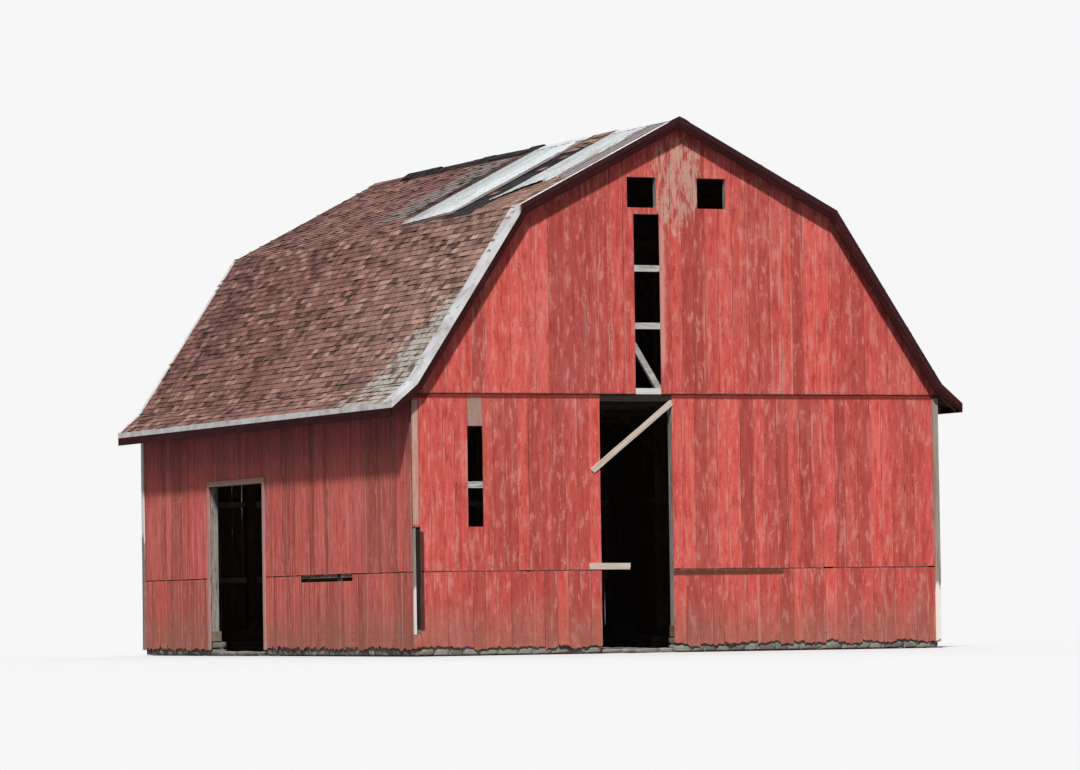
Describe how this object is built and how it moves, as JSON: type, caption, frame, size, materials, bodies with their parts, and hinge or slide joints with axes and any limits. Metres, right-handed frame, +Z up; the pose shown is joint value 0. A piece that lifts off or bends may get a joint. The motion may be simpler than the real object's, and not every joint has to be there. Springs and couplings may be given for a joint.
{
  "type": "gambrel-roofed timber barn",
  "caption": "Old timber-framed barn with a gambrel roof, kicked eaves, upright board walls, two open doorways and paired gable windows.",
  "frame": {"origin": "middle of the footprint at ground level, on the foundation's underside", "axes": "+Z up, -Y out of the front gable, +X to the right seen from the front, ridge along Y"},
  "size_m": [11.908, 15.648, 10.1635],
  "materials": {
    "foundation_stone": "rough field stone laid in lime mortar",
    "frame_timber": "hewn timber, dry and grey-brown",
    "rafter_wood": "sawn wood, unpainted, greyed",
    "red_boards": "worn red barn paint on upright boards",
    "casing_paint": "faded pinkish paint",
    "grey_boards": "bare weathered grey wood",
    "roof_boards": "rough sawn roof boards",
    "shingles": "old mottled shingles with lichen",
    "dark_trim": "dark red paint",
    "ridge_metal": "dark tarred sheet metal",
    "sheet_metal": "bright galvanised sheet",
    "edging_metal": "old white paint on sheet metal"
  },
  "bodies": {
    "root": {"foundation": "foundation_stone", "post_pads": "foundation_stone", "sills": "frame_timber", "wall_posts": "frame_timber", "inner_posts": "frame_timber", "tie_beams": "frame_timber", "wall_plates": "frame_timber", "purlin_plates": "frame_timber", "straining_beams": "frame_timber", "tie_braces": "frame_timber", "long_braces": "frame_timber", "gable_strut": "frame_timber", "upper_rafters": "rafter_wood", "lower_rafters": "rafter_wood", "gable_girts": "rafter_wood", "side_girts": "rafter_wood", "roof_lookouts": "rafter_wood", "door_frames": "rafter_wood", "window_linings": "rafter_wood", "front_gable_boards": "red_boards", "front_wall_left": "red_boards", "front_wall_right": "red_boards", "front_skirt": "red_boards", "left_wall_front": "red_boards", "left_wall_back": "red_boards", "left_wall_over_door": "red_boards", "left_skirt": "red_boards", "right_wall": "red_boards", "right_skirt": "red_boards", "back_gable_boards": "red_boards", "back_wall": "red_boards", "back_skirt": "red_boards", "side_door_casing": "casing_paint", "corner_boards": "grey_boards", "loose_boards": "grey_boards", "left_upper_roof_boards": "roof_boards", "left_lower_roof_boards": "roof_boards", "right_upper_roof_boards": "roof_boards", "right_lower_roof_boards": "roof_boards", "left_upper_shingles": "shingles", "left_lower_shingles": "shingles", "right_upper_shingles": "shingles", "right_lower_shingles": "shingles", "rake_boards": "dark_trim", "eave_boards": "dark_trim", "ridge_cap": "ridge_metal", "metal_sheets": "sheet_metal", "rake_edging": "edging_metal", "eave_edging": "edging_metal"}
  },
  "joints": []
}
